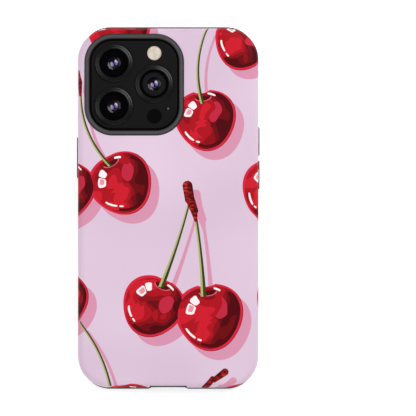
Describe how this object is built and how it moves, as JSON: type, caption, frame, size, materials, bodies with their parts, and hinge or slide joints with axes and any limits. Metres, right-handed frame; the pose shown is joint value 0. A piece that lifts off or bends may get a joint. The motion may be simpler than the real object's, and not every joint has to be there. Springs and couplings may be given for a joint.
{
  "type": "smartphone in a protective case",
  "caption": "Smartphone in a two-layer protective case: printed hard shell over a soft liner, with button covers and a raised camera rim.",
  "frame": {"origin": "centre of the footprint, on the plane of the case's raised screen lip", "axes": "+X across the phone to the right as its back is looked at, +Y along it towards its top edge, +Z out of its back"},
  "size_m": [0.0768, 0.1518, 0.0116],
  "materials": {
    "printed_shell": "smooth clear-coated hard plastic with a printed cherry pattern on a pale orchid ground",
    "soft_liner": "fine matt charcoal soft plastic",
    "cover_rubber": "fine matt dark grey soft plastic",
    "band_metal": "black satin-coated metal",
    "front_glass": "polished black glass",
    "back_glass": "satin black glass",
    "lens_glass": "coated clear optical glass",
    "black_plastic": "moulded black plastic",
    "flash_lens": "ribbed warm-white diffuser",
    "flash_chip": "yellow phosphor",
    "steel_parts": "plain sheet steel",
    "board": "green circuit board",
    "panel_film": "black backing film",
    "battery_foil": "black foil pouch",
    "coil_copper": "wound copper"
  },
  "bodies": {
    "phone_and_case": {"outer_shell": "printed_shell", "inner_liner": "soft_liner", "phone_band": "band_metal", "sim_tray": "band_metal", "main_lens_ring": "band_metal", "wide_lens_ring": "band_metal", "tele_lens_ring": "band_metal", "display_glass": "front_glass", "back_glass": "back_glass", "camera_island": "back_glass", "depth_sensor_window": "back_glass", "main_lens_glass": "lens_glass", "wide_lens_glass": "lens_glass", "tele_lens_glass": "lens_glass", "main_lens_element": "lens_glass", "wide_lens_element": "lens_glass", "tele_lens_element": "lens_glass", "main_lens_barrel": "black_plastic", "wide_lens_barrel": "black_plastic", "tele_lens_barrel": "black_plastic", "main_camera_sensor": "black_plastic", "wide_camera_sensor": "black_plastic", "tele_camera_sensor": "black_plastic", "front_camera": "black_plastic", "depth_sensor": "black_plastic", "bottom_speaker": "black_plastic", "sound_vent": "black_plastic", "earpiece_speaker": "black_plastic", "port_tongue": "black_plastic", "flash_diffuser": "flash_lens", "flash_led": "flash_chip", "earpiece_mesh": "steel_parts", "rear_microphone": "steel_parts", "camera_bracket": "steel_parts", "mid_plate": "steel_parts", "board_shield": "steel_parts", "magnet_ring": "steel_parts", "haptic_motor": "steel_parts", "left_bottom_screw": "steel_parts", "right_bottom_screw": "steel_parts", "charging_port": "steel_parts", "power_switch": "steel_parts", "volume_up_switch": "steel_parts", "volume_down_switch": "steel_parts", "main_board": "board", "display_panel": "panel_film", "battery": "battery_foil", "charging_coil": "coil_copper"},
    "power_button": {"power_key": "band_metal", "power_cover": "cover_rubber"},
    "volume_up_button": {"volume_up_key": "band_metal", "volume_up_cover": "cover_rubber"},
    "volume_down_button": {"volume_down_key": "band_metal", "volume_down_cover": "cover_rubber"},
    "ring_switch": {"ring_switch": "band_metal"}
  },
  "joints": [
    {"name": "power_press", "type": "slide", "parent": "phone_and_case", "child": "power_button", "axis": [1, 0, 0], "range_m": [0, 0.0003], "stiffness_N_per_m": 2000},
    {"name": "volume_up_press", "type": "slide", "parent": "phone_and_case", "child": "volume_up_button", "axis": [-1, 0, 0], "range_m": [0, 0.0003], "stiffness_N_per_m": 2000},
    {"name": "volume_down_press", "type": "slide", "parent": "phone_and_case", "child": "volume_down_button", "axis": [-1, 0, 0], "range_m": [0, 0.0003], "stiffness_N_per_m": 2000},
    {"name": "ring_switch_slide", "type": "slide", "parent": "phone_and_case", "child": "ring_switch", "axis": [0, 0, 1], "range_m": [0, 0.001]}
  ]
}
